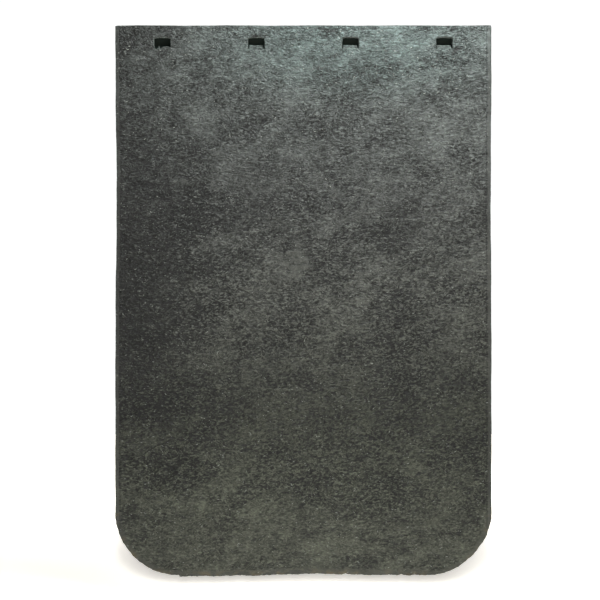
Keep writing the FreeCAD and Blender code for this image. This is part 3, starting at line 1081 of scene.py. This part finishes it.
studio = {
    "frameWidth": 0.971,        # width of the view at the flap's face
    "lens": 100.0,
    "aside": -5.5 * mm,         # the camera stands a little left of the flap's middle
    "above": 1.6 * mm,
    "floorGap": 0.022,
    "floorReach": 3.2,
    "floorGlow": (0.43, 1.3),    # painted light: the floor's own glow, weaker under the flap, a broad painted shade there, and stronger out from there
    "glowReach": (0.3, 1.25),
    "surround": 1.05,
    "roomLight": 0.03,
    "key": {"power": 10.4, "size": (0.45, 0.2), "place": (0.2, -0.34, 0.42), "aim": (0.08, 0, -0.1),
            "colour": "#fafdff"},
    "top": {"power": 25.0, "size": (2.6, 2.6), "place": (0, -0.3, 2.3), "aim": (0, -0.1, -0.9),
            "colour": "#ffffff"},
    "fill": {"power": 4.5, "size": (1.2, 1.2), "place": (1.2, -1.6, 0.3), "aim": (0, 0, -0.5),
             "colour": "#fff4e2"},
    # lights the floor only, from over the camera, so that the flap's shadow shows just under its edge
    "floor": {"power": 8.0, "size": (0.12, 0.6), "place": (0, -2.75, -0.1), "aim": (0, 0.9, -0.89),
              "colour": "#fffdf8", "spread": 26},
    "back": {"power": 6.0, "size": (1.6, 1.2), "place": (-0.5, 1.5, 0.9), "aim": (0, 0, -0.35),
             "colour": "#ffffff"},
    "cardGap": 4 * mm,
    "cardInset": 45 * mm,
    "cardTop": 18 * mm,
    "cardHeight": 34 * mm,
    "cardColour": (0.03, 0.04, 0.035, 1),      # linear
}


def addLight(name, settings):
    data = bpy.data.lights.new(name, "AREA")
    data.shape = "RECTANGLE"
    data.size, data.size_y = settings["size"]
    data.energy = settings["power"]
    data.color = hexColour(settings["colour"])[:3]
    lamp = bpy.data.objects.new(name, data)
    lamp.location = settings["place"]
    towards = Vector(settings["aim"]) - Vector(settings["place"])
    lamp.rotation_euler = towards.to_track_quat("-Z", "Y").to_euler()
    data.spread = math.radians(settings.get("spread", 180))
    bpy.context.scene.collection.objects.link(lamp)
    return lamp


def flatPiece(name, corners, material):
    mesh = bpy.data.meshes.new(name)
    mesh.from_pydata(corners, [], [tuple(range(len(corners)))])
    mesh.materials.append(material)
    piece = bpy.data.objects.new(name, mesh)
    bpy.context.scene.collection.objects.link(piece)
    return piece


def makeFloor():
    material, tree, shader = newMaterial("glowingWhiteFloor")
    shader.inputs["Base Color"].default_value = hexColour("#e9e8e4")
    shader.inputs["Roughness"].default_value = 0.9
    shader.inputs["Emission Color"].default_value = hexColour("#fffaf2")
    place = addNode(tree, "ShaderNodeTexCoord").outputs["Object"]
    flat = addNode(tree, "ShaderNodeVectorMath", {"operation": "MULTIPLY"}, {0: place, 1: (1, 1, 0)})
    away = addNode(tree, "ShaderNodeVectorMath", {"operation": "LENGTH"}, {0: flat.outputs[0]})
    # painted light: the floor glows on its own, weaker under the flap, a broad painted shade there, and
    # stronger out from there
    glow = mapped(tree, away.outputs["Value"], *studio["glowReach"], *studio["floorGlow"], eased=True)
    tree.links.new(glow, shader.inputs["Emission Strength"])
    height = bottomEdge - studio["floorGap"]
    turns = [2 * math.pi * i / 64 for i in range(64)]
    reach = studio["floorReach"]
    rim = [(reach * math.cos(a), reach * math.sin(a), height) for a in turns]
    return flatPiece("studioFloor", rim, material)


def makeSlotCard():
    # a black card close behind the slots paints the shade seen through them: painted shade; it can't be seen
    # from behind, and it neither lights nor shades anything
    material, tree, shader = newMaterial("slotShadeCard")
    shader.inputs["Base Color"].default_value = studio["cardColour"]
    shader.inputs["Roughness"].default_value = 1.0
    shader.inputs["Specular IOR Level"].default_value = 0.0
    side = addNode(tree, "ShaderNodeNewGeometry").outputs["Backfacing"]
    clear = addNode(tree, "ShaderNodeBsdfTransparent").outputs[0]
    either = addNode(tree, "ShaderNodeMixShader", None, {0: side, 1: shader.outputs[0], 2: clear})
    output = next(node for node in tree.nodes if node.type == "OUTPUT_MATERIAL")
    tree.links.new(either.outputs[0], output.inputs["Surface"])
    x, y = halfWidth - studio["cardInset"], rearFace + studio["cardGap"]
    top = topEdge - studio["cardTop"]
    low = top - studio["cardHeight"]
    card = flatPiece("slotCard", [(-x, y, low), (x, y, low), (x, y, top), (-x, y, top)], material)
    card.visible_diffuse = False
    card.visible_glossy = False
    card.visible_transmission = False
    card.visible_shadow = False


def makeWorld():
    # white behind everything, but a dimmer room for the rubber to reflect
    world = bpy.data.worlds.new("studioWorld")
    bpy.context.scene.world = world
    world.use_nodes = True
    tree = world.node_tree
    seen = addNode(tree, "ShaderNodeLightPath").outputs["Is Camera Ray"]
    sky = tree.nodes["Background"]
    sky.inputs["Color"].default_value = (1, 1, 1, 1)
    strength = mapped(tree, seen, 0.0, 1.0, studio["roomLight"], studio["surround"])
    tree.links.new(strength, sky.inputs["Strength"])


def makeCamera():
    camera = bpy.data.objects.new("studioCamera", bpy.data.cameras.new("studioCamera"))
    bpy.context.scene.collection.objects.link(camera)
    camera.data.lens = studio["lens"]
    camera.data.clip_end = 50
    distance = studio["frameWidth"] * studio["lens"] / camera.data.sensor_width
    middle = (topEdge + bottomEdge) / 2
    camera.location = (studio["aside"], frontFace - distance, middle + studio["above"])
    camera.rotation_euler = (math.pi / 2, 0, 0)
    bpy.context.scene.camera = camera


def makeStage():
    floor = makeFloor()
    makeSlotCard()
    makeWorld()
    makeCamera()
    for name in ("key", "top", "fill", "back"):
        addLight(name + "Light", studio[name])
    floorLight = addLight("floorLight", studio["floor"])
    floorLight.light_linking.receiver_collection = bpy.data.collections.new("litFloor")
    floorLight.light_linking.receiver_collection.objects.link(floor)
    bpy.context.scene.view_settings.view_transform = "Standard"


makeStage()
print("stage made")
